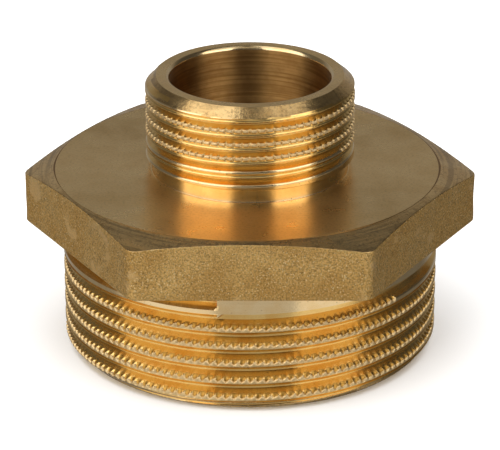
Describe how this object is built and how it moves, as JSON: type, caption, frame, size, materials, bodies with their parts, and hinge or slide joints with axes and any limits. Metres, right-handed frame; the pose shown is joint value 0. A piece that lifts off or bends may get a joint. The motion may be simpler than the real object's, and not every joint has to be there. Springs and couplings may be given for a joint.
{
  "type": "hexagon reducing nipple",
  "caption": "Brass pipe reducer in one piece: a spanner hexagon between a large and a small male thread, bored through.",
  "frame": {"origin": "middle of the large end's face, on the bore axis, on which the part stands", "axes": "+Z along the bore axis from the large thread to the small one, +X at a corner of the hexagon, -Y out of the front spanner flat"},
  "size_m": [0.0572, 0.05, 0.0353],
  "materials": {
    "brass": "turned and threaded ends, bright; as-forged hexagon sides, matt and finely speckled"
  },
  "bodies": {
    "root": {"fitting_body": "brass"}
  },
  "joints": []
}
